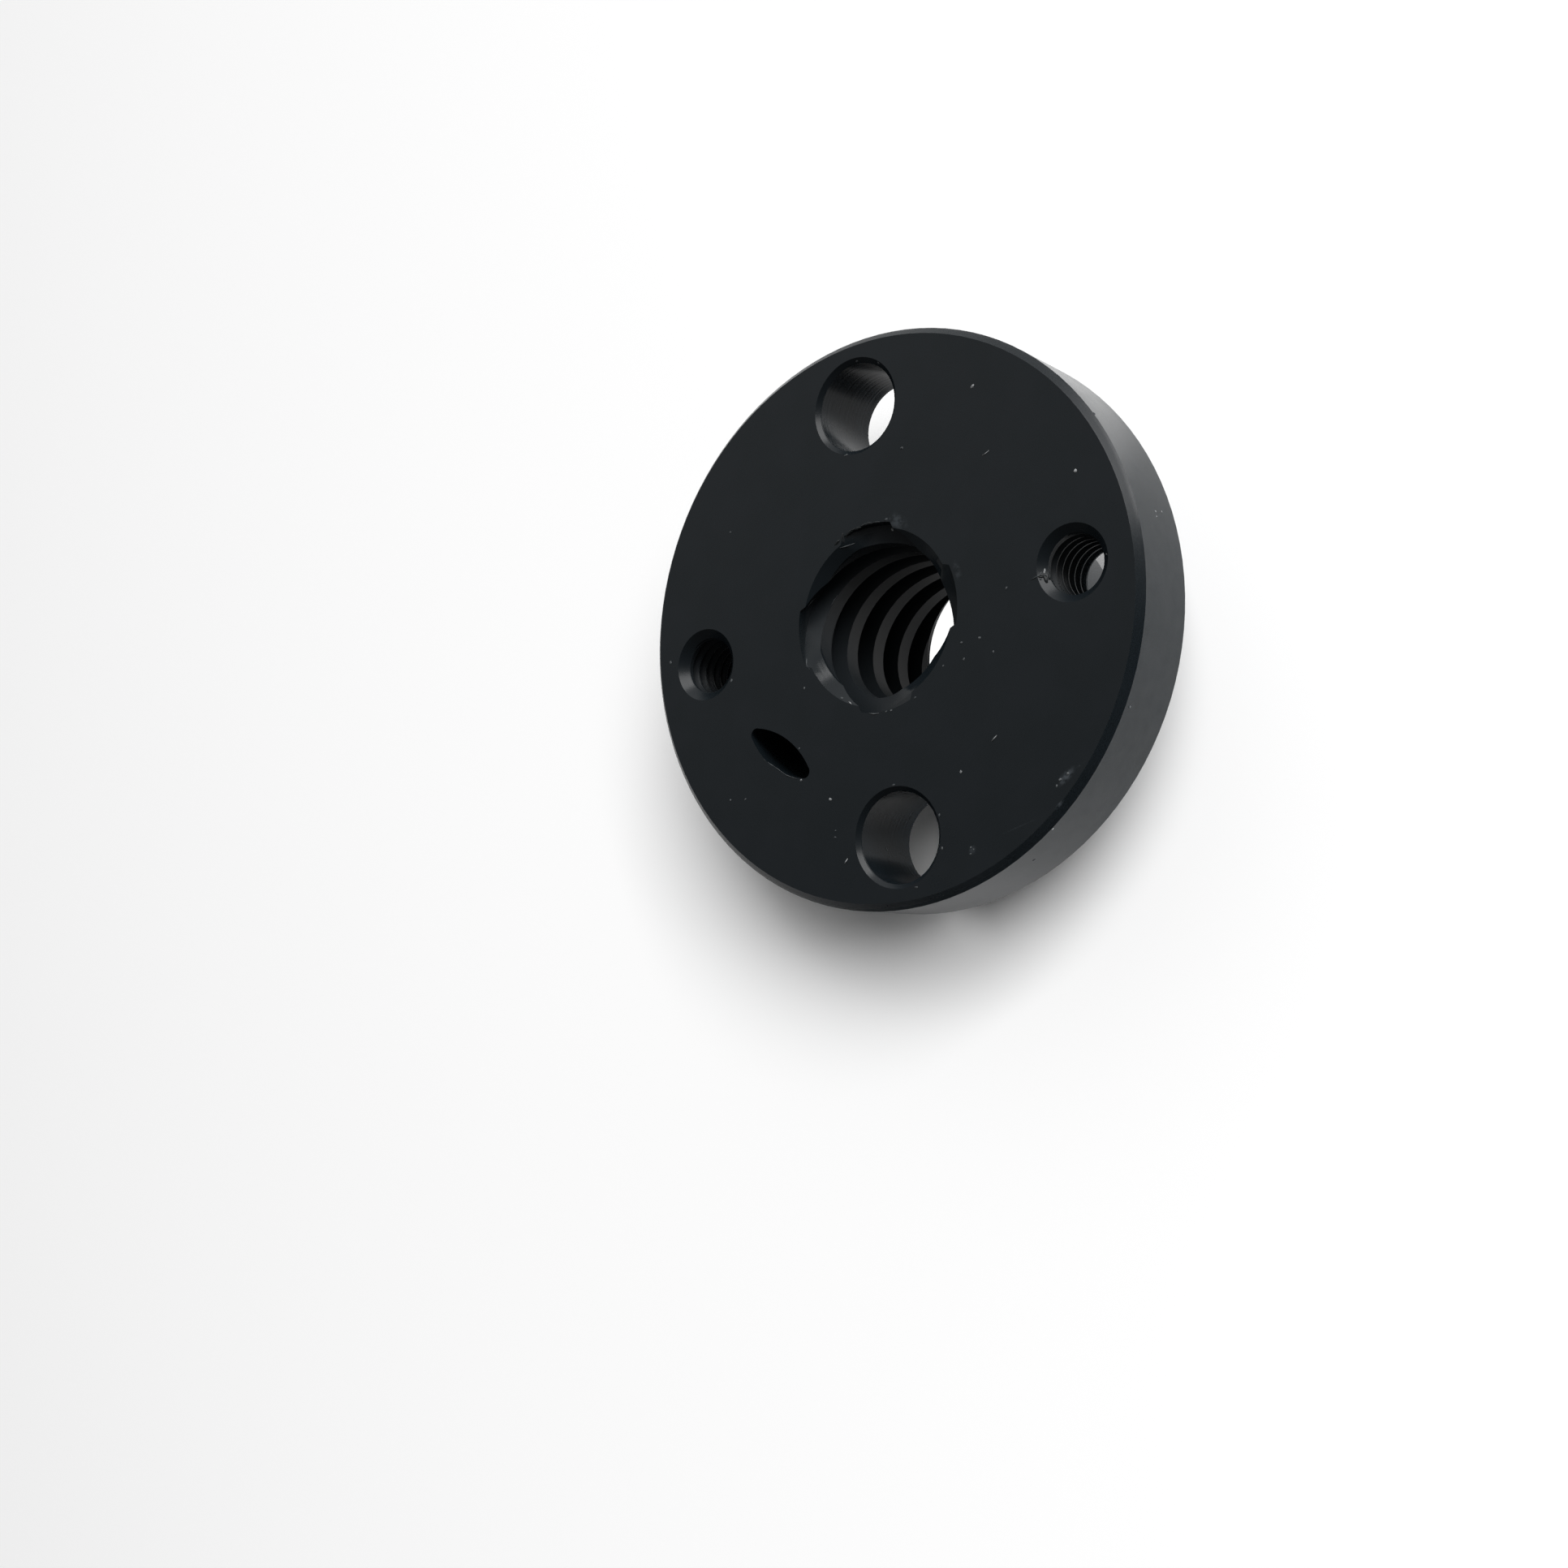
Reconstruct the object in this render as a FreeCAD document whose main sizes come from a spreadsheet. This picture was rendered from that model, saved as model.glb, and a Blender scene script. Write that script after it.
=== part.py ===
import FreeCAD, Part
import math
import os
import Sketcher

# Flanged trapezoidal lead screw nut, turned in one piece from black acetal.
# Millimetres. +Z runs along the screw axis, origin on the axis at the end of the body, flange uppermost.
# +X passes through the two tapped holes and +Y through the two clearance holes.

NODE = "lead_screw_nut"
SCREW_STARTS = 4
HOLE_COUNT = 2

# Driving dimensions: name, value, meaning. Angles are in degrees.
SIZES = (
    ("overall_length", 10.5, "end of the body to the face of the flange"),
    ("flange_diameter", 25.0, "flange outside"),
    ("flange_thickness", 4.0, "face to back of the flange"),
    ("body_diameter", 12.5, "body behind the flange"),
    ("rim_chamfer", 0.3, "edge break on both rims of the flange"),
    ("body_chamfer", 0.25, "edge break at the end of the body"),
    ("screw_major", 8.2, "bottom of the thread grooves, diameter"),
    ("screw_minor", 6.7, "crests of the thread, diameter"),
    ("screw_pitch", 2.0, "from one ridge to the next along the axis"),
    ("groove_mouth", 1.2, "width of a groove at the crests, along the axis"),
    ("flank_angle", 15.0, "lean of each flank of the thread"),
    ("groove_turn", 1.0, "direction of one groove where it meets the flange face"),
    ("face_mouth", 7.7, "countersink of the bore in the flange face, diameter"),
    ("face_mouth_angle", 110.0, "included angle of that countersink"),
    ("end_mouth", 8.3, "countersink of the bore at the end of the body, diameter"),
    ("end_mouth_angle", 60.0, "included angle of that countersink"),
    ("bolt_circle", 19.0, "circle through the middles of all four flange holes"),
    ("clearance_hole", 3.9, "plain hole, diameter"),
    ("clearance_chamfer", 0.2, "edge break at both ends of a plain hole"),
    ("tap_hole", 2.5, "hole drilled for an M3 thread, diameter"),
    ("tap_chamfer", 0.3, "edge break at both ends of a tapped hole"),
    ("slit_circle", 14.96, "circle through the middle of the blind slit, diameter"),
    ("slit_turn", 220.3, "direction of the slit from the axis"),
    ("slit_lean", 8.8, "turn of the slit away from square to its own radius"),
    ("slit_length", 3.8, "tip to tip"),
    ("slit_width", 1.4, "across the middle"),
    ("slit_tip", 0.3, "radius of each tip"),
    ("slit_depth", 3.0, "below the flange face"),
)


class Dim:
    """A dimension: its value at the start and the sheet expression that drives it."""

    def __init__(self, value, text):
        self.value = float(value)
        self.text = text

    def __add__(self, other):
        other = as_dim(other)
        return Dim(self.value + other.value, f"({self.text} + {other.text})")

    def __sub__(self, other):
        other = as_dim(other)
        return Dim(self.value - other.value, f"({self.text} - {other.text})")

    def __mul__(self, other):
        other = as_dim(other)
        return Dim(self.value * other.value, f"({self.text} * {other.text})")

    def __truediv__(self, other):
        other = as_dim(other)
        return Dim(self.value / other.value, f"({self.text} / {other.text})")


def as_dim(number):
    return number if isinstance(number, Dim) else Dim(number, str(number))


def tan_of(angle):
    return Dim(math.tan(math.radians(angle.value)), f"tan({angle.text})")


def cos_of(angle):
    return Dim(math.cos(math.radians(angle.value)), f"cos({angle.text})")


def sin_of(angle):
    return Dim(math.sin(math.radians(angle.value)), f"sin({angle.text})")


def whole_above(count):
    return Dim(math.ceil(count.value), f"ceil({count.text})")


doc = FreeCAD.newDocument("LeadScrewNut")
sheet = doc.addObject("Spreadsheet::Sheet", "Sizes")
for row, (alias, number, meaning) in enumerate(SIZES, start=1):
    sheet.set(f"A{row}", alias)
    sheet.set(f"B{row}", str(number))
    sheet.setAlias(f"B{row}", alias)
    sheet.set(f"C{row}", meaning)
doc.recompute()

dims = {alias: Dim(sheet.get(alias), f"Sizes.{alias}") for alias, number, meaning in SIZES}

body = doc.addObject("PartDesign::Body", NODE)
body.Label = NODE


def origin_feature(role):
    return next(item for item in body.Origin.OriginFeatures if item.Role == role)


def new_sketch(name, plane):
    sketch = body.newObject("Sketcher::SketchObject", name)
    sketch.AttachmentSupport = [(origin_feature(plane), "")]
    sketch.MapMode = "FlatFace"
    return sketch


def tie(sketch, label, kind, where, dim):
    """One named dimension of a sketch, driven by the sheet."""
    index = sketch.addConstraint(Sketcher.Constraint(kind, *where, dim.value))
    sketch.renameConstraint(index, label)
    sketch.setExpression(f"Constraints.{label}", dim.text)


def outline(name, plane, corners):
    """Closed outline of straight edges; each corner is its distance from the axis and its height."""
    sketch = new_sketch(name, plane)
    points = [FreeCAD.Vector(across.value, height.value, 0) for across, height in corners]
    following = points[1:] + points[:1]
    sketch.addGeometry([Part.LineSegment(a, b) for a, b in zip(points, following)], False)
    last = len(points) - 1
    for edge, (across, height) in enumerate(corners):
        sketch.addConstraint(Sketcher.Constraint("Coincident", edge, 1, edge - 1 if edge else last, 2))
        tie(sketch, f"across_{edge}", "DistanceX", (-1, 1, edge, 1), across)
        tie(sketch, f"height_{edge}", "DistanceY", (-1, 1, edge, 1), height)
    doc.recompute()
    return sketch


def cut_done(feature, before):
    """A cut has to take material away."""
    doc.recompute()
    if feature.Shape.isNull() or not feature.Shape.Volume < before:
        raise RuntimeError(feature.Name + " removed nothing")
    return feature


def repeated(feature, name, count):
    """Equally spaced copies of a cut round the screw axis."""
    before = feature.Shape.Volume
    pattern = body.newObject("PartDesign::PolarPattern", name)
    pattern.Originals = [feature]
    pattern.Axis = (origin_feature("Z_Axis"), [""])
    pattern.Angle = 360
    pattern.Occurrences = count
    body.Tip = pattern
    return cut_done(pattern, before)


def turned_blank():
    """Flange and body, still solid on the axis."""
    length = dims["overall_length"]
    back = length - dims["flange_thickness"]
    flange = dims["flange_diameter"] / 2
    shank = dims["body_diameter"] / 2
    rim = dims["rim_chamfer"]
    corners = (
        (as_dim(0), as_dim(0)),
        (shank - dims["body_chamfer"], as_dim(0)),
        (shank, dims["body_chamfer"]),
        (shank, back),
        (flange - rim, back),
        (flange, back + rim),
        (flange, length - rim),
        (flange - rim, length),
        (as_dim(0), length),
    )
    section = outline("BlankSection", "XZ_Plane", corners)
    blank = body.newObject("PartDesign::Revolution", "Blank")
    blank.Profile = section
    blank.ReferenceAxis = (section, ["V_Axis"])
    blank.Angle = 360
    doc.recompute()
    return blank


def screw_grooves(base):
    """Right-hand trapezoidal grooves, run out through both ends; the bore then opens them."""
    length = dims["overall_length"]
    pitch = dims["screw_pitch"]
    lead = pitch * SCREW_STARTS
    mouth = dims["groove_mouth"]
    crest = dims["screw_minor"] / 2
    root = dims["screw_major"] / 2
    lean = tan_of(dims["flank_angle"])
    depth = root - crest
    # Middle of the groove in the plane of the sketch: in step with the flange face, a few pitches lower.
    at_face = length - lead * dims["groove_turn"] / 360
    start = at_face - pitch * whole_above((at_face + mouth) / pitch)
    inner = crest - depth
    half_inner = mouth / 2 + depth * lean
    half_root = mouth / 2 - depth * lean
    corners = (
        (inner, start - half_inner),
        (root, start - half_root),
        (root, start + half_root),
        (inner, start + half_inner),
    )
    section = outline("GrooveSection", "XZ_Plane", corners)
    groove = body.newObject("PartDesign::SubtractiveHelix", "ScrewGroove")
    groove.Profile = section
    groove.ReferenceAxis = (section, ["V_Axis"])
    groove.Mode = "pitch-height-angle"
    groove.LeftHanded = False
    groove.setExpression("Pitch", lead.text)
    groove.setExpression("Height", (length + mouth - start).text)
    cut_done(groove, base.Shape.Volume)
    return repeated(groove, "ScrewGrooves", SCREW_STARTS)


def bore(base):
    """Straight bore that leaves the thread crests."""
    sketch = new_sketch("BoreOutline", "XY_Plane")
    circle = Part.Circle(FreeCAD.Vector(0, 0, 0), FreeCAD.Vector(0, 0, 1), dims["screw_minor"].value / 2)
    sketch.addGeometry(circle, False)
    sketch.addConstraint(Sketcher.Constraint("Coincident", 0, 3, -1, 1))
    tie(sketch, "crests", "Diameter", (0,), dims["screw_minor"])
    doc.recompute()
    drilled = body.newObject("PartDesign::Pocket", "Bore")
    drilled.Profile = sketch
    drilled.Type = "ThroughAll"
    drilled.Reversed = True
    return cut_done(drilled, base.Shape.Volume)


def bore_mouth(name, diameter, angle, height, outward, base):
    """Conical countersink at one end of the bore; outward is +1 at the flange face, -1 at the body end."""
    crest = dims["screw_minor"] / 2
    mouth = diameter / 2
    slope = tan_of(angle / 2)
    # The cone runs a little past the crests and past the end, so that it leaves no edge of its own.
    past = (mouth - crest) / 2
    inner = crest - past
    outer = mouth + past
    corners = (
        (as_dim(0), height + past / slope * outward),
        (outer, height + past / slope * outward),
        (inner, height - (mouth - inner) / slope * outward),
        (as_dim(0), height - (mouth - inner) / slope * outward),
    )
    section = outline(name + "Section", "XZ_Plane", corners)
    cone = body.newObject("PartDesign::Groove", name)
    cone.Profile = section
    cone.ReferenceAxis = (section, ["V_Axis"])
    cone.Angle = 360
    return cut_done(cone, base.Shape.Volume)


def flange_holes(name, plane, diameter, chamfer, base):
    """Through holes of the flange, chamfered at both ends, with their first axis in the given plane."""
    face = dims["overall_length"]
    back = face - dims["flange_thickness"]
    axis = dims["bolt_circle"] / 2
    wall = axis + diameter / 2
    flare = wall + chamfer * 2
    corners = (
        (axis, back - chamfer),
        (flare, back - chamfer),
        (wall, back + chamfer),
        (wall, face - chamfer),
        (flare, face + chamfer),
        (axis, face + chamfer),
    )
    section = outline(name + "Section", plane, corners)
    line = section.addGeometry(Part.LineSegment(FreeCAD.Vector(axis.value, 0, 0),
                                                FreeCAD.Vector(axis.value, face.value, 0)), True)
    section.addConstraint(Sketcher.Constraint("Coincident", line, 1, 0, 1))
    section.addConstraint(Sketcher.Constraint("Coincident", line, 2, len(corners) - 1, 1))
    drilled = body.newObject("PartDesign::Groove", name + "First")
    drilled.Profile = section
    drilled.ReferenceAxis = (section, ["Axis0"])
    drilled.Angle = 360
    cut_done(drilled, base.Shape.Volume)
    return repeated(drilled, name, HOLE_COUNT)


def blind_slit(base):
    """Narrow blind slit in the flange face: two long arcs closed by two small tip arcs."""
    half_long = dims["slit_length"] / 2
    half_wide = dims["slit_width"] / 2
    tip = dims["slit_tip"]
    reach = half_long - tip
    # Long arcs are tangent to the tip arcs and pass through the middle of the long sides.
    side = (reach * reach + half_wide * half_wide - tip * tip) / ((half_wide - tip) * 2)
    drop = side.value - half_wide.value
    swing = math.atan2(drop, reach.value)

    sketch = new_sketch("SlitOutline", "XY_Plane")
    radius = dims["slit_circle"] / 2
    sketch.AttachmentOffset = FreeCAD.Placement(
        FreeCAD.Vector(0, 0, 0), FreeCAD.Rotation(FreeCAD.Vector(0, 0, 1), 1))
    placed = {
        "Base.x": radius * cos_of(dims["slit_turn"]),
        "Base.y": radius * sin_of(dims["slit_turn"]),
        "Base.z": dims["overall_length"],
        "Rotation.Angle": dims["slit_turn"] + 90 + dims["slit_lean"],
    }
    for field, dim in placed.items():
        sketch.setExpression("AttachmentOffset." + field, dim.text)

    normal = FreeCAD.Vector(0, 0, 1)

    def arc(x, y, bow, first, last):
        circle = Part.Circle(FreeCAD.Vector(x, y, 0), normal, bow)
        return sketch.addGeometry(Part.ArcOfCircle(circle, first, last), False)

    half_turn = math.pi
    right = arc(reach.value, 0, tip.value, -swing, swing)
    upper = arc(0, -drop, side.value, swing, half_turn - swing)
    left = arc(-reach.value, 0, tip.value, half_turn - swing, half_turn + swing)
    lower = arc(0, drop, side.value, half_turn + swing, 2 * half_turn - swing)
    ring = (right, upper, left, lower)
    for one, other in zip(ring, ring[1:] + ring[:1]):
        sketch.addConstraint(Sketcher.Constraint("Tangent", one, 2, other, 1))
    sketch.addConstraint(Sketcher.Constraint("PointOnObject", right, 3, -1))
    sketch.addConstraint(Sketcher.Constraint("Symmetric", right, 3, left, 3, -1, 1))
    sketch.addConstraint(Sketcher.Constraint("Equal", right, left))
    sketch.addConstraint(Sketcher.Constraint("Equal", upper, lower))
    tie(sketch, "reach", "DistanceX", (-1, 1, right, 3), reach)
    tie(sketch, "tip", "Radius", (right,), tip)
    tie(sketch, "side", "Radius", (upper,), side)
    doc.recompute()

    slit = body.newObject("PartDesign::Pocket", "Slit")
    slit.Profile = sketch
    slit.Type = "Length"
    slit.setExpression("Length", dims["slit_depth"].text)
    return cut_done(slit, base.Shape.Volume)


blank = turned_blank()
grooves = screw_grooves(blank)
threaded = bore(grooves)
eased = bore_mouth("FaceMouth", dims["face_mouth"], dims["face_mouth_angle"],
                   dims["overall_length"], 1, threaded)
opened = bore_mouth("EndMouth", dims["end_mouth"], dims["end_mouth_angle"],
                    as_dim(0), -1, eased)
clearance = flange_holes("ClearanceHoles", "YZ_Plane", dims["clearance_hole"],
                         dims["clearance_chamfer"], opened)
tapped = flange_holes("TappedHoles", "XZ_Plane", dims["tap_hole"],
                      dims["tap_chamfer"], clearance)
slit = blind_slit(tapped)
body.Tip = slit
doc.recompute()

for item in doc.Objects:
    if {"Invalid", "Error"} & set(item.State):
        raise RuntimeError(item.Name + " did not build")
if body.Shape.isNull() or not body.Shape.isValid() or len(body.Shape.Solids) != 1:
    raise RuntimeError("the nut is not one valid solid")

os.makedirs("parts", exist_ok=True)
body.Shape.exportStep(f"parts/{NODE}.step")
print(f"{NODE}: {body.Shape.Volume:.1f} mm3 in {len(body.Shape.Faces)} faces")
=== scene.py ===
import math
import random

import bmesh
import bpy
from mathutils import Matrix, Vector


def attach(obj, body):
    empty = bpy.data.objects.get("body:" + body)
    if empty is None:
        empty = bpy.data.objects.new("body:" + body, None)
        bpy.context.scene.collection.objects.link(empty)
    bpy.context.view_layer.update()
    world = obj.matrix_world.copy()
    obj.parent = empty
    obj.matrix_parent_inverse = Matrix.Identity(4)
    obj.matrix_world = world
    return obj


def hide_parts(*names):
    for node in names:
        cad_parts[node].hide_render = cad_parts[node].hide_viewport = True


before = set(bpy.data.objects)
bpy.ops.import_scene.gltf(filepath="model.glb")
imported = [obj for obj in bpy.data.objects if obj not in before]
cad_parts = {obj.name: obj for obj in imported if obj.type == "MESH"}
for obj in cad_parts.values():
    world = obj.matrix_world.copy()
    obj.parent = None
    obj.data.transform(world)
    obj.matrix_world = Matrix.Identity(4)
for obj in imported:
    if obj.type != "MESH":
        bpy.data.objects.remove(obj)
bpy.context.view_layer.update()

NODE = "lead_screw_nut"
SLOT = "black_acetal"
MM = 0.001

# Sizes of the solid that the added detail meets, in millimetres.
FACE_HEIGHT = 10.5
FLANGE_THICKNESS = 4.0
FLANGE_RADIUS = 12.5
RIM_CHAMFER = 0.3
THREAD_ROOT_RADIUS = 4.1
MOUTH_RADIUS = 3.85
HOLE_CIRCLE_RADIUS = 9.5
PLAIN_HOLE_RADIUS = 1.95
PLAIN_HOLES = ((0, HOLE_CIRCLE_RADIUS, 0), (0, -HOLE_CIRCLE_RADIUS, 0))
TAPPED_HOLES = ((HOLE_CIRCLE_RADIUS, 0, 0), (-HOLE_CIRCLE_RADIUS, 0, 0))
TAP_HOLE_RADIUS = 1.25
TAP_CHAMFER = 0.3

# M3 thread of the two tapped holes, in millimetres.
TAP_PITCH = 0.5
TAP_ROOT_RADIUS = 1.52
TAP_BEVEL_RADIUS = 1.32
TAP_INNER_RADIUS = 1.225
TAP_ROOT_WIDTH = 0.06
TAP_STEPS_PER_TURN = 48
TAP_START_DEPTH = 0.33
TAP_RUNOUT_TURNS = 0.4
FLANK_SLOPE = math.tan(math.radians(30))

# Name, middle, radius of the worn mouth in the face and turn of the thread in degrees.
TAPS = (
    ("tap_plus_x", HOLE_CIRCLE_RADIUS, 1.60, 2),
    ("tap_minus_x", -HOLE_CIRCLE_RADIUS, 1.64, 36),
)

# Smooth shading stops at sharp edges and on level faces.
SHARP_EDGE = math.radians(28)
FLAT_FACE = 0.9999
# How near corners are welded, in metres, and how near a corner counts as on a chamfer, in millimetres.
WELD = 1e-7
CUT_WELD = 1e-6
CONE_MATCH = 0.002

# Camera of the photo: place, axes, focal length, and clip distances in metres.
EYE = Vector((42.4782, -20.4347, 63.8167 + FACE_HEIGHT)) * MM
EYE_RIGHT = (0.786187, -0.086304, -0.611933)
EYE_UP = (0.174921, 0.980784, 0.086407)
EYE_BACK = (0.592717, -0.174972, 0.786175)
PHOTO_WIDTH_PIXELS = 1932.0
FOCAL_PIXELS = 2286.8
SENSOR_WIDTH = 36.0
CAMERA_LENS = SENSOR_WIDTH * FOCAL_PIXELS / PHOTO_WIDTH_PIXELS
CLIP_START = 0.002
CLIP_END = 20.0


def placed(name, data):
    """Object in the scene that holds a mesh, a lamp or a camera."""
    holder = bpy.data.objects.new(name, data)
    bpy.context.scene.collection.objects.link(holder)
    return holder


def made(name, shape):
    """Object from a finished bmesh."""
    mesh = bpy.data.meshes.new(name)
    shape.to_mesh(mesh)
    shape.free()
    return placed(name, mesh)


def skin(shape, rings):
    """Join rings of corners into one strand with closed ends."""
    for ring, following in zip(rings, rings[1:]):
        for corner in range(len(ring)):
            beside = (corner + 1) % len(ring)
            shape.faces.new((ring[corner], ring[beside], following[beside], following[corner]))
    shape.faces.new(reversed(rings[0]))
    shape.faces.new(rings[-1])


class Shading:
    """Node tree of a material or the world, with short ways to add and wire its nodes."""

    def __init__(self, owner):
        owner.use_nodes = True
        self.nodes = owner.node_tree.nodes
        self.links = owner.node_tree.links

    def put(self, value, socket):
        if isinstance(value, bpy.types.NodeSocket):
            self.links.new(value, socket)
        else:
            socket.default_value = value

    def place(self, coordinates):
        return self.nodes.new("ShaderNodeTexCoord").outputs[coordinates]

    def millimetres(self):
        """Place on the object, in millimetres."""
        return self.vector("MULTIPLY", self.place("Object"), (1 / MM, 1 / MM, 1 / MM))

    def ray(self, kind):
        return self.nodes.new("ShaderNodeLightPath").outputs[kind]

    def part(self, vector, axis):
        node = self.nodes.new("ShaderNodeSeparateXYZ")
        self.put(vector, node.inputs["Vector"])
        return node.outputs[axis]

    def maths(self, operation, *values):
        node = self.nodes.new("ShaderNodeMath")
        node.operation = operation
        for value, socket in zip(values, node.inputs):
            self.put(value, socket)
        return node.outputs["Value"]

    def vector(self, operation, first, second=(0, 0, 0), result="Vector"):
        node = self.nodes.new("ShaderNodeVectorMath")
        node.operation = operation
        self.put(first, node.inputs[0])
        self.put(second, node.inputs[1])
        return node.outputs[result]

    def within(self, vector, middle, turn, half_size):
        """Place measured from a middle, turned about Z and divided by a half size on each axis."""
        node = self.nodes.new("ShaderNodeMapping")
        node.vector_type = "TEXTURE"
        self.put(vector, node.inputs["Vector"])
        node.inputs["Location"].default_value = middle
        node.inputs["Rotation"].default_value = (0, 0, turn)
        node.inputs["Scale"].default_value = half_size
        return node.outputs["Vector"]

    def ramp(self, value, low, high, to_low=0.0, to_high=1.0, kind="SMOOTHSTEP"):
        node = self.nodes.new("ShaderNodeMapRange")
        node.interpolation_type = kind
        for number, socket in zip((value, low, high, to_low, to_high), node.inputs):
            self.put(number, socket)
        return node.outputs["Result"]

    def noise(self, place, scale, detail, along=False):
        """Noise at a place, or along one measure such as a height."""
        node = self.nodes.new("ShaderNodeTexNoise")
        node.noise_dimensions = "1D" if along else "3D"
        self.put(place, node.inputs["W" if along else "Vector"])
        node.inputs["Scale"].default_value = scale
        node.inputs["Detail"].default_value = detail
        return node.outputs["Fac"]

    def blend(self, share, first, second):
        """Number between two numbers."""
        node = self.nodes.new("ShaderNodeMix")
        node.data_type = "FLOAT"
        for value, index in ((share, 0), (first, 2), (second, 3)):
            self.put(value, node.inputs[index])
        return node.outputs[0]

    def tint(self, share, first, second):
        """Colour between two colours."""
        node = self.nodes.new("ShaderNodeMix")
        node.data_type = "RGBA"
        for value, index in ((share, 0), (first, 6), (second, 7)):
            self.put(value, node.inputs[index])
        return node.outputs[2]

    def relief(self, height, depth):
        node = self.nodes.new("ShaderNodeBump")
        self.put(height, node.inputs["Height"])
        self.put(depth, node.inputs["Distance"])
        return node.outputs["Normal"]


# Pale scuffs on the flange face: middle, turn in degrees, half length, half width, strength.
SCUFFS = (
    ((8.14, -8.40), 34, 0.66, 0.24, 1.00),
    ((8.80, -8.08), 24, 0.40, 0.06, 0.40),
    ((7.72, -9.45), 36, 0.34, 0.10, 0.80),
    ((5.80, -10.01), 12, 1.10, 0.04, 0.30),
    ((3.56, -10.58), 60, 0.30, 0.22, 0.45),
    ((1.55, 3.85), -35, 0.75, 0.40, 0.55),
    ((4.25, 1.00), 100, 0.60, 0.22, 0.45),
    ((7.70, -0.25), 20, 0.40, 0.10, 0.40),
)
SCUFF_FADE = (0.15, 1.0)
DEEP_BLACK = (0.0136, 0.0206, 0.0258, 1)
GREY_BLACK = (0.0166, 0.0235, 0.0296, 1)
THREAD_BLACK = (0.030, 0.037, 0.043, 1)
SCUFFED = (0.125, 0.145, 0.165, 1)

# Noise over the plastic: scale per millimetre and detail.
CLOUD = (0.55, 4)
GRAIN = (7.0, 2)
WEAR = (1.6, 6)
BREAKS = (5.0, 3)
TOOL_MARKS = (5.0, 3)
# Levels of a noise between which a colour changes.
CLOUD_LEVELS = (0.3, 0.7)
BREAK_LEVELS = (0.38, 0.66)

# Where one finish turns into the next, in millimetres: depths below the face, then widths and margins.
THREAD_DEPTHS = (0.6, 0.35)
TAP_DEPTHS = (0.42, 0.34)
FACE_DEPTHS = (0.1, 0.02)
HOLE_BLUR = 0.03
BORE_BLUR = 0.05
EDGE_BLUR = 0.02
TAP_MARGIN = 0.01
PLAIN_MARGIN = 0.005

# Roughness and shine of each finish; a pair is the share of a noise and what it is added to.
PLASTIC_IOR = 1.5
FACE_ROUGHNESS = (0.10, 0.23)
GRAIN_ROUGHNESS = 0.04
THREAD_ROUGHNESS = 0.39
MOUTH_ROUGHNESS = 0.16
TAP_ROUGHNESS = 0.36
PLAIN_ROUGHNESS = 0.24
RIM_ROUGHNESS = (0.14, 0.13)
FACE_SHINE = 0.5
PLAIN_SHINE = 0.29
TAP_SHINE = 0.20
EDGE_SHINE = 0.40
RIM_SHINE = (0.36, 0.34)
FACE_MARK_DEPTH = 0.0010
WALL_MARK_DEPTH = 0.007


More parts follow.
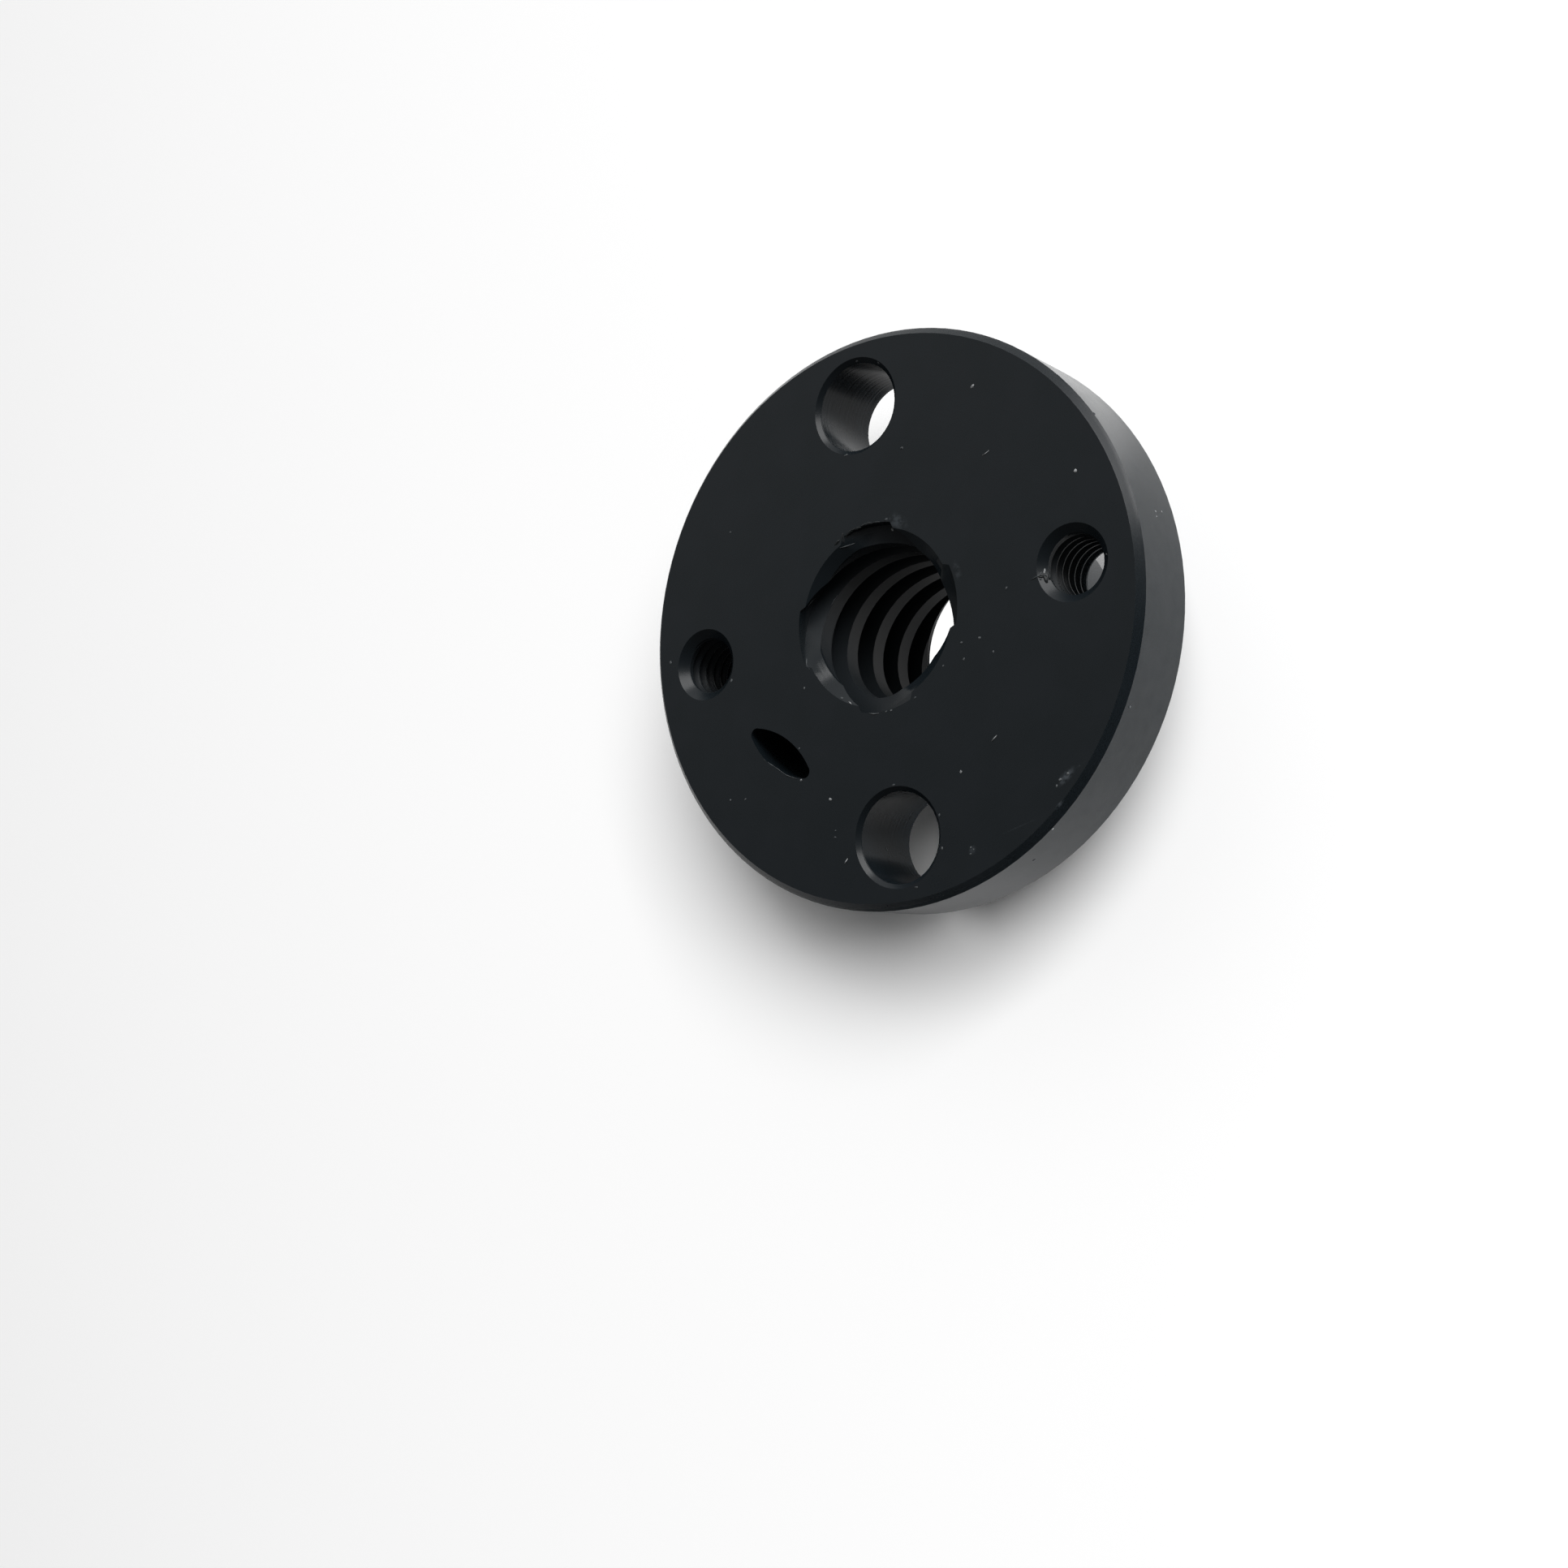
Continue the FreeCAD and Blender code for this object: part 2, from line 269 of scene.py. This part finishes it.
def black_acetal():
    """Turned black plastic: satin face, rougher threads, fine tool marks and a few scuffs."""
    material = bpy.data.materials.new(SLOT)
    art = Shading(material)
    shader = art.nodes["Principled BSDF"]
    shader.inputs["IOR"].default_value = PLASTIC_IOR
    place = art.millimetres()
    level = art.vector("MULTIPLY", place, (1, 1, 0))
    radius = art.vector("LENGTH", level, result="Value")
    height = art.part(place, "Z")

    def around(holes, reach):
        """One inside round holes of this radius, nought outside."""
        zone = 0.0
        for middle in holes:
            distance = art.vector("DISTANCE", level, middle, "Value")
            zone = art.maths("MAXIMUM", zone, art.ramp(distance, reach, reach + HOLE_BLUR, 1, 0))
        return zone

    def between(depths, *to):
        """Ramp between two depths below the face."""
        low, high = (FACE_HEIGHT - depth for depth in depths)
        return art.ramp(height, low, high, *to)

    edge_radius = FLANGE_RADIUS - RIM_CHAMFER
    in_bore = art.ramp(radius, THREAD_ROOT_RADIUS, THREAD_ROOT_RADIUS + BORE_BLUR, 1, 0)
    below_mouth = between(THREAD_DEPTHS, 1, 0)
    in_thread = art.maths("MULTIPLY", in_bore, below_mouth)
    above_thread = art.maths("SUBTRACT", 1, below_mouth)
    inside_mouth = art.ramp(radius, MOUTH_RADIUS - EDGE_BLUR, MOUTH_RADIUS, 1, 0)
    at_mouth = art.maths("MULTIPLY", inside_mouth, above_thread)
    near_taps = around(TAPPED_HOLES, TAP_ROOT_RADIUS + TAP_MARGIN)
    in_taps = art.maths("MULTIPLY", near_taps, between(TAP_DEPTHS, 1, 0))
    in_plain = around(PLAIN_HOLES, PLAIN_HOLE_RADIUS + PLAIN_MARGIN)
    on_edge = art.ramp(radius, edge_radius, edge_radius + EDGE_BLUR)
    on_rim = art.ramp(radius, FLANGE_RADIUS - RIM_CHAMFER / 2, FLANGE_RADIUS - EDGE_BLUR)
    on_face = between(FACE_DEPTHS)

    cloud = art.noise(place, *CLOUD)
    grain = art.noise(place, *GRAIN)
    wear = art.noise(place, *WEAR)
    finish = art.maths("MULTIPLY_ADD", cloud, *FACE_ROUGHNESS)
    for zone, roughness in (
        (in_thread, THREAD_ROUGHNESS),
        (at_mouth, MOUTH_ROUGHNESS),
        (in_taps, TAP_ROUGHNESS),
        (in_plain, PLAIN_ROUGHNESS),
        (on_rim, art.maths("MULTIPLY_ADD", wear, *RIM_ROUGHNESS)),
    ):
        finish = art.blend(zone, finish, roughness)
    finish = art.maths("SUBTRACT", finish, GRAIN_ROUGHNESS / 2)
    art.put(art.maths("MULTIPLY_ADD", grain, GRAIN_ROUGHNESS, finish), shader.inputs["Roughness"])
    shine = FACE_SHINE
    for zone, there in (
        (in_plain, PLAIN_SHINE),
        (in_taps, TAP_SHINE),
        (on_edge, EDGE_SHINE),
        (on_rim, art.maths("MULTIPLY_ADD", wear, *RIM_SHINE)),
    ):
        shine = art.blend(zone, shine, there)
    art.put(shine, shader.inputs["Specular IOR Level"])

    worn = 0.0
    for middle, turn, half_long, half_wide, strength in SCUFFS:
        local = art.within(level, (*middle, 0), math.radians(turn), (half_long, half_wide, 1))
        reach = art.vector("LENGTH", local, result="Value")
        worn = art.maths("MAXIMUM", worn, art.ramp(reach, *SCUFF_FADE, strength, 0))
    broken = art.ramp(art.noise(place, *BREAKS), *BREAK_LEVELS)
    worn = art.maths("MULTIPLY", art.maths("MULTIPLY", worn, broken), on_face)
    colour = art.tint(art.ramp(cloud, *CLOUD_LEVELS), DEEP_BLACK, GREY_BLACK)
    colour = art.tint(art.maths("MAXIMUM", in_thread, in_taps), colour, THREAD_BLACK)
    art.put(art.tint(worn, colour, SCUFFED), shader.inputs["Base Color"])

    # Tool marks run round the axis on the face, and round each drilled wall.
    drilled = art.maths("MAXIMUM", in_plain, in_thread)
    across = art.blend(drilled, art.maths("ADD", radius, height), height)
    marks = art.noise(across, *TOOL_MARKS, along=True)
    depth = art.blend(in_plain, FACE_MARK_DEPTH * MM, WALL_MARK_DEPTH * MM)
    art.put(art.relief(marks, depth), shader.inputs["Normal"])
    return material


# Torn plastic: its darker and paler colour, the noise between them and the roughness that goes with it.
BRIGHT_SWARF = ((0.50, 0.52, 0.53, 1), (0.86, 0.88, 0.89, 1))
DULL_SWARF = ((0.08, 0.09, 0.10, 1), (0.26, 0.28, 0.29, 1))
TORN_BLACK = ((0.012, 0.016, 0.018, 1), (0.030, 0.036, 0.040, 1))
TORN_MOTTLE = (3.0, 2)
MOTTLE_LEVELS = (0.35, 0.65)
TORN_ROUGHNESS = (0.2, 0.4)


def torn_acetal(name, dark, light):
    """Torn plastic of flecks, burrs and lumps, mottled between two colours."""
    material = bpy.data.materials.new(name)
    art = Shading(material)
    shader = art.nodes["Principled BSDF"]
    share = art.ramp(art.noise(art.millimetres(), *TORN_MOTTLE), *MOTTLE_LEVELS)
    art.put(art.tint(share, dark, light), shader.inputs["Base Color"])
    art.put(art.maths("MULTIPLY_ADD", share, *TORN_ROUGHNESS), shader.inputs["Roughness"])
    return material


def tap_rib(name, middle, turn):
    """Helical V rib that leaves an M3 thread when it is cut out of a tapped hole."""
    half_root = TAP_ROOT_WIDTH / 2
    half_bevel = half_root + (TAP_ROOT_RADIUS - TAP_BEVEL_RADIUS) * FLANK_SLOPE
    half_inner = half_bevel + TAP_BEVEL_RADIUS - TAP_INNER_RADIUS
    section = (
        (TAP_INNER_RADIUS, -half_inner),
        (TAP_BEVEL_RADIUS, -half_bevel),
        (TAP_ROOT_RADIUS, -half_root),
        (TAP_ROOT_RADIUS, half_root),
        (TAP_BEVEL_RADIUS, half_bevel),
        (TAP_INNER_RADIUS, half_inner),
    )
    turns = (FLANGE_THICKNESS + TAP_PITCH - TAP_START_DEPTH) / TAP_PITCH
    steps = int(turns * TAP_STEPS_PER_TURN)
    runout = TAP_RUNOUT_TURNS * TAP_STEPS_PER_TURN
    start = FACE_HEIGHT - FLANGE_THICKNESS - TAP_PITCH
    rib = bmesh.new()
    rings = []
    for step in range(steps + 1):
        along = 2 * math.pi * step / TAP_STEPS_PER_TURN + math.radians(turn)
        height = start + TAP_PITCH * step / TAP_STEPS_PER_TURN
        sunk = (TAP_ROOT_RADIUS - TAP_INNER_RADIUS) * max(0, 1 - (steps - step) / runout)
        rings.append([
            rib.verts.new((
                (middle + (radius - sunk) * math.cos(along)) * MM,
                (radius - sunk) * math.sin(along) * MM,
                (height + offset) * MM,
            ))
            for radius, offset in section
        ])
    skin(rib, rings)
    bmesh.ops.recalc_face_normals(rib, faces=rib.faces)
    return made(name, rib)


def widen_tap(blank, middle, mouth_radius):
    """Stretch a tapped hole's chamfer in the face to the width that it has in the photo."""
    axis = Vector((middle, 0, 0)) * MM
    for vert in blank.verts:
        across = (vert.co - axis) * Vector((1, 1, 0))
        beyond = across.length / MM - TAP_HOLE_RADIUS
        depth = FACE_HEIGHT - vert.co.z / MM
        on_cone = abs(beyond + depth - TAP_CHAMFER) <= CONE_MATCH
        if not on_cone or beyond < -CONE_MATCH or depth < -CONE_MATCH:
            continue
        reach = beyond / TAP_CHAMFER * (mouth_radius - TAP_HOLE_RADIUS) + TAP_HOLE_RADIUS
        lift = Vector((0, 0, FACE_HEIGHT - mouth_radius + reach))
        vert.co = axis + (across.normalized() * reach + lift) * MM


def weld_cuts(mesh):
    """Weld the corners that the cuts left next to each other, and drop faces without area."""
    shape = bmesh.new()
    shape.from_mesh(mesh)
    bmesh.ops.remove_doubles(shape, verts=shape.verts, dist=CUT_WELD)
    bmesh.ops.dissolve_degenerate(shape, edges=shape.edges, dist=CUT_WELD)
    shape.to_mesh(mesh)
    shape.free()


def dressed_nut(node, material):
    """The nut with its tapped threads cut and its shading smoothed between true edges."""
    welded = bmesh.new()
    welded.from_mesh(node.data)
    bmesh.ops.remove_doubles(welded, verts=welded.verts, dist=WELD)
    for _, middle, mouth_radius, _ in TAPS:
        widen_tap(welded, middle, mouth_radius)
    welded.verts.index_update()
    mesh = bpy.data.meshes.new("nut_blank")
    mesh.from_pydata([vert.co for vert in welded.verts], [],
                     [[vert.index for vert in face.verts] for face in welded.faces])
    welded.free()
    nut = placed("nut", mesh)

    cutters = [tap_rib(name, middle, turn) for name, middle, _, turn in TAPS]
    for cutter in cutters:
        cut = nut.modifiers.new(cutter.name, "BOOLEAN")
        cut.operation = "DIFFERENCE"
        cut.solver = "EXACT"
        cut.object = cutter
    depsgraph = bpy.context.evaluated_depsgraph_get()
    threaded = bpy.data.meshes.new_from_object(nut.evaluated_get(depsgraph))
    threaded.name = "nut"
    nut.modifiers.clear()
    nut.data = threaded
    bpy.data.meshes.remove(mesh)
    for cutter in cutters:
        bpy.data.meshes.remove(cutter.data)

    weld_cuts(threaded)
    threaded.shade_smooth()
    threaded.set_sharp_from_angle(angle=SHARP_EDGE)
    for polygon in threaded.polygons:
        polygon.use_smooth = abs(polygon.normal.z) < FLAT_FACE
    threaded.materials.clear()
    threaded.materials.append(material)
    return nut


def seat(nut, point):
    """Where the photo's sight line through a point of the face's plane meets the nut, and its normal."""
    aim = Vector((*point, FACE_HEIGHT)) * MM
    _, spot, outward, _ = nut.ray_cast(EYE, (aim - EYE).normalized())
    return spot, outward


# Flecks seen in the photo, by the point of the flange face's plane that they cover:
# point, length, width and turn in degrees.
BRIGHT_FLECKS = (
    ((5.91, 8.51), 0.19, 0.11, 30),
    ((10.13, 3.61), 0.16, 0.13, 40),
    ((3.41, -7.34), 0.13, 0.09, 70),
    ((-3.23, -7.33), 0.13, 0.12, 0),
    ((-4.69, -6.23), 0.11, 0.09, 20),
    ((8.26, -0.05), 0.22, 0.08, -15),
    ((1.29, 3.55), 0.14, 0.09, 80),
    ((7.32, -10.33), 0.12, 0.08, 40),
    ((13.30, 1.06), 0.09, 0.06, 30),
    ((13.32, 0.85), 0.08, 0.05, 60),
    ((13.55, 0.99), 0.08, 0.05, 0),
)
DULL_FLECKS = (
    ((2.17, 6.93), 0.15, 0.10, -10),
    ((-7.42, 5.74), 0.11, 0.09, 0),
    ((6.45, -0.32), 0.14, 0.10, 60),
    ((4.96, -2.05), 0.11, 0.10, 20),
    ((5.53, -2.76), 0.11, 0.08, 80),
    ((-3.11, -8.72), 0.09, 0.07, 0),
    ((-3.17, -9.00), 0.12, 0.08, 10),
    ((-4.07, -2.25), 0.12, 0.08, 60),
    ((-8.70, -6.42), 0.09, 0.07, 0),
    ((-7.85, -6.53), 0.10, 0.07, 30),
    ((-4.64, -4.84), 0.10, 0.06, 50),
    ((-11.56, 0.55), 0.16, 0.11, 70),
    ((-8.07, -1.05), 0.15, 0.09, 60),
    ((1.02, 4.06), 0.16, 0.10, 20),
    ((-2.13, -3.10), 0.14, 0.09, 0),
    ((0.06, -4.14), 0.12, 0.06, 10),
    ((0.32, -4.14), 0.12, 0.07, 10),
    ((1.57, -3.85), 0.12, 0.07, 30),
    ((4.08, -2.05), 0.13, 0.09, 0),
    ((4.12, -2.76), 0.13, 0.09, 45),
    ((3.09, -2.82), 0.10, 0.06, 30),
    ((11.04, -0.07), 0.14, 0.07, 60),
    ((7.71, -8.69), 0.12, 0.08, 60),
    ((7.89, -8.47), 0.14, 0.11, 30),
    ((8.26, -8.29), 0.14, 0.10, 40),
    ((3.50, -10.48), 0.10, 0.07, 40),
    ((3.46, -10.74), 0.11, 0.07, 10),
    ((3.62, -10.58), 0.08, 0.06, 80),
    ((11.23, -6.22), 0.14, 0.10, 30),
    ((6.33, -11.43), 0.13, 0.07, 0),
    ((0.34, 11.45), 0.16, 0.09, 10),
    ((1.44, 11.01), 0.12, 0.08, -30),
    ((-0.70, 7.46), 0.22, 0.08, 10),
    ((0.07, -7.30), 0.16, 0.11, 20),
    ((1.64, -8.38), 0.11, 0.08, 50),
    ((2.17, -8.92), 0.12, 0.08, 70),
    ((2.14, -10.29), 0.11, 0.08, 80),
    ((0.70, -11.70), 0.16, 0.08, -10),
    ((-0.58, -9.92), 0.11, 0.08, 0),
    ((11.24, 5.67), 0.14, 0.09, 40),
    ((8.03, -0.33), 0.12, 0.08, 30),
)
# Lumps of torn plastic: the lip of one groove at the mouth, and a chip in a tapped hole.
LIP_LUMPS = (
    ((-1.60, 3.74), 0.34, 0.12, 30),
    ((-1.26, 3.86), 0.46, 0.15, 14),
    ((-0.93, 4.01), 0.38, 0.11, 26),
    ((-0.52, 4.08), 0.52, 0.13, 4),
    ((-0.17, 4.13), 0.30, 0.10, 12),
    ((0.14, 4.13), 0.44, 0.12, -8),
    ((0.58, 4.05), 0.40, 0.14, -20),
    ((0.82, 3.95), 0.22, 0.11, -38),
    ((8.06, -0.23), 0.30, 0.12, 80),
    ((8.27, -0.38), 0.40, 0.20, 5),
    ((8.45, -0.32), 0.34, 0.13, -10),
)
# Burrs and fibres: thickness, then the points that they follow.
BRIGHT_SLIVERS = (
    (0.045, ((6.02, 5.46), (6.20, 5.50), (6.36, 5.58))),
    (0.055, ((5.00, -6.38), (5.12, -6.29), (5.27, -6.18))),
    (0.060, ((-2.78, -10.18), (-2.70, -10.10), (-2.60, -10.00))),
    (0.060, ((-1.78, -3.34), (-1.72, -3.40), (-1.66, -3.47))),
)
DULL_SLIVERS = (
    (0.045, ((-3.48, 1.33), (-3.25, 1.49), (-3.00, 1.60))),
    (0.040, ((-2.25, 1.03), (-2.05, 1.24), (-1.84, 1.41))),
    (0.045, ((-3.77, -0.79), (-3.83, -1.26), (-3.69, -1.50))),
    (0.050, ((-1.51, 3.46), (-1.09, 3.44), (-0.68, 3.46))),
    (0.050, ((-0.78, -4.04), (-0.54, -4.12), (-0.29, -4.14))),
    (0.050, ((7.62, -0.25), (7.84, -0.21), (8.02, -0.16), (8.12, -0.05))),
    (0.040, ((-6.62, -4.95), (-6.05, -5.42), (-5.45, -5.87), (-4.90, -6.14))),
)
FLECK_SEED = 41
FLECK_SUBDIVISIONS = 2
FLECK_HEIGHT = 0.7
FLECK_UNEVEN = 0.22
SLIVER_SIDES = 6
SLIVER_TIP = 0.35
SLIVER_LIFT = 0.25


def flecks(name, marks, nut, material):
    """Small uneven chips, each bedded in the surface that it lies on."""
    rng = random.Random(FLECK_SEED)
    lumps = bmesh.new()
    for point, length, width, turn in marks:
        spot, outward = seat(nut, point)
        upright = outward.to_track_quat("Z", "Y").to_matrix().to_4x4()
        lie = upright @ Matrix.Rotation(math.radians(turn), 4, "Z")
        size = Vector((length, width, width * FLECK_HEIGHT)) * MM / 2
        lump = bmesh.ops.create_icosphere(lumps, subdivisions=FLECK_SUBDIVISIONS, radius=1)
        for vert in lump["verts"]:
            swell = 1 + rng.uniform(-FLECK_UNEVEN, FLECK_UNEVEN)
            vert.co = spot + lie @ (vert.co * swell * size)
    piece = made(name, lumps)
    piece.data.materials.append(material)
    return piece


def slivers(name, lines, nut, material):
    """Thin tapering burrs that lie along the surface."""
    strands = bmesh.new()
    for thickness, points in lines:
        seats = [seat(nut, point) for point in points]
        path = [spot + outward * thickness * MM * SLIVER_LIFT for spot, outward in seats]
        rings = []
        for index, (here, (spot, outward)) in enumerate(zip(path, seats)):
            ahead = path[min(index + 1, len(path) - 1)] - path[max(index - 1, 0)]
            side = ahead.cross(outward).normalized()
            top = side.cross(ahead).normalized()
            reach = thickness * MM / 2 * (SLIVER_TIP if index in (0, len(path) - 1) else 1)
            rings.append([
                strands.verts.new(here + (side * math.cos(angle) + top * math.sin(angle)) * reach)
                for angle in (2 * math.pi * corner / SLIVER_SIDES for corner in range(SLIVER_SIDES))
            ])
        skin(strands, rings)
    bmesh.ops.recalc_face_normals(strands, faces=strands.faces)
    piece = made(name, strands)
    piece.data.shade_smooth()
    piece.data.materials.append(material)
    return piece


acetal = black_acetal()
bright = torn_acetal("bright_swarf", *BRIGHT_SWARF)
dull = torn_acetal("dull_swarf", *DULL_SWARF)
torn = torn_acetal("torn_black", *TORN_BLACK)
nut = dressed_nut(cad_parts[NODE], acetal)
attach(nut, "root")
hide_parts(NODE)
bpy.context.view_layer.update()
swarf = (
    flecks("bright_flecks", BRIGHT_FLECKS, nut, bright),
    flecks("dull_flecks", DULL_FLECKS, nut, dull),
    flecks("torn_lip", LIP_LUMPS, nut, torn),
    slivers("bright_slivers", BRIGHT_SLIVERS, nut, bright),
    slivers("dull_slivers", DULL_SLIVERS, nut, dull),
)
for piece in swarf:
    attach(piece, "root")

# Floor: its size in metres, its colours, and the places in millimetres where what it shows changes.
FLOOR_SIZE = 6.0
PAPER_ROUGHNESS = 0.9
PAPER = (0.92, 0.92, 0.92, 1)
# SHADED_PAPER is painted shade: the paper as mirror rays see it outside the painted lit strip.
SHADED_PAPER = (0.49, 0.49, 0.49, 1)
NO_COLOUR = (0, 0, 0, 1)
WHITE = (1, 1, 1, 1)
# Within COVERED_RADII, under the flange, mirror rays see painted black shade with a painted glow on it.
COVERED_RADII = (FLANGE_RADIUS - 1, FLANGE_RADIUS + 1.5)
# Inside BORE_PATCH_RADIUS the camera sees the paper painted white, where the nut shades it, and mirror
# rays see a painted glow.
BORE_PATCH_RADIUS = 4.6
FAR_RADII = (220, 600)
# A painted strip of light that mirror rays see on the paper, across WINDOW_SIDE between STRIP_BEGINS and
# STRIP_ENDS.
WINDOW_SIDE = (0.35, 0.94, 0)
STRIP_BEGINS = (12.6, 14.8)
STRIP_ENDS = (17, 20)
# Painted glow that mirror rays see under the flange and behind the bore, dim on one side and brighter
# towards the other.
GLOW_SIDE = (0.81, 0.59, 0)
COVERED_SPAN = (-8, 2)
COVERED_GLOW = (0.05, 0.55)
PATCH_SPAN = (-3.0, 4.0)
PATCH_GLOW = (0.12, 0.66)


def paper_floor():
    """White paper; mirror rays see painted shade on it with a painted lit strip, and a painted glow on
    black under the flange and behind the bore; the camera sees it painted white behind the bore.
    """
    bpy.ops.mesh.primitive_plane_add(size=FLOOR_SIZE, location=(0, 0, 0))
    floor = bpy.context.object
    floor.name = "floor"
    material = bpy.data.materials.new("paper")
    art = Shading(material)
    shader = art.nodes["Principled BSDF"]
    shader.inputs["Roughness"].default_value = PAPER_ROUGHNESS
    place = art.millimetres()
    reach = art.vector("LENGTH", place, result="Value")
    in_patch = art.maths("LESS_THAN", reach, BORE_PATCH_RADIUS)
    covered = art.ramp(reach, *COVERED_RADII, 1, 0)
    towards_window = art.vector("DOT_PRODUCT", place, WINDOW_SIDE, "Value")
    lit = art.maths("MULTIPLY", art.ramp(towards_window, *STRIP_BEGINS),
                    art.ramp(towards_window, *STRIP_ENDS, 1, 0))
    # Mirror rays see painted shade, a painted lit strip, and painted black under the flange.
    painted_reflection = art.tint(covered, art.tint(lit, SHADED_PAPER, PAPER), NO_COLOUR)
    glossy = art.ray("Is Glossy Ray")
    art.put(art.tint(glossy, PAPER, painted_reflection), shader.inputs["Base Color"])

    # Painted glow for mirror rays, under the flange and behind the bore.
    towards_glow_side = art.vector("DOT_PRODUCT", place, GLOW_SIDE, "Value")
    covered_glow = art.ramp(towards_glow_side, *COVERED_SPAN, *COVERED_GLOW)
    patch_glow = art.ramp(towards_glow_side, *PATCH_SPAN, *PATCH_GLOW)
    glow = art.blend(in_patch, art.maths("MULTIPLY", covered, covered_glow), patch_glow)
    mirrored_glow = art.maths("MULTIPLY", glossy, glow)
    # The camera sees white far off, and the paper painted white behind the bore, where the nut shades
    # it.
    far_off = art.ramp(reach, *FAR_RADII)
    seen = art.maths("MULTIPLY", art.ray("Is Camera Ray"), art.maths("MAXIMUM", in_patch, far_off))
    shader.inputs["Emission Color"].default_value = WHITE
    art.put(art.maths("MAXIMUM", seen, mirrored_glow), shader.inputs["Emission Strength"])
    floor.data.materials.append(material)
    return floor


# Light: the world's brightness along Y, then the softboxes with lengths in metres and power in watts.
WORLD_SPAN = (-0.15, 1.0)
WORLD_GLOW = (0.05, 0.62)
KEY = {"direction": (0.60, 0.65, 0.465), "distance": 0.55, "size": (0.42, 0.28), "power": 1.05}
FLOOR_WASH = {"direction": (0.592, 0.165, 0.788), "distance": 0.80, "size": (0.42, 0.42), "power": 8.05}


def studio_world():
    """Dim studio, brighter towards the window at +Y; white where the camera looks past the floor."""
    world = bpy.data.worlds.new("studio")
    bpy.context.scene.world = world
    art = Shading(world)
    background = art.nodes["Background"]
    background.inputs["Color"].default_value = WHITE
    along = art.part(art.place("Generated"), "Y")
    level = art.ramp(along, *WORLD_SPAN, *WORLD_GLOW, "LINEAR")
    art.put(art.maths("MAXIMUM", level, art.ray("Is Camera Ray")), background.inputs["Strength"])


def softbox(name, direction, distance, size, power):
    """Rectangular lamp that looks at the nut."""
    lamp = bpy.data.lights.new(name, "AREA")
    lamp.shape = "RECTANGLE"
    lamp.size, lamp.size_y = size
    lamp.energy = power
    holder = placed(name, lamp)
    holder.location = Vector(direction).normalized() * distance
    holder.rotation_euler = holder.location.to_track_quat("Z", "Y").to_euler()
    return holder


def only_on(lamp, *lit):
    """Let a lamp light these objects alone; the others still cast its shadow."""
    group = bpy.data.collections.new(lamp.name + "_lit")
    for one in lit:
        group.objects.link(one)
    lamp.light_linking.receiver_collection = group


floor = paper_floor()
studio_world()
key = softbox("key", **KEY)
only_on(key, nut, *swarf)
wash = softbox("floor_wash", **FLOOR_WASH)
only_on(wash, floor)


def photo_camera():
    """Camera at the photo's place, angle and focal length."""
    camera = bpy.data.cameras.new("camera")
    camera.sensor_width = SENSOR_WIDTH
    camera.lens = CAMERA_LENS
    camera.clip_start = CLIP_START
    camera.clip_end = CLIP_END
    holder = placed("camera", camera)
    axes = Matrix((EYE_RIGHT, EYE_UP, EYE_BACK)).transposed().to_4x4()
    holder.matrix_world = Matrix.Translation(EYE) @ axes
    bpy.context.scene.camera = holder


photo_camera()
bpy.context.scene.view_settings.view_transform = "Standard"
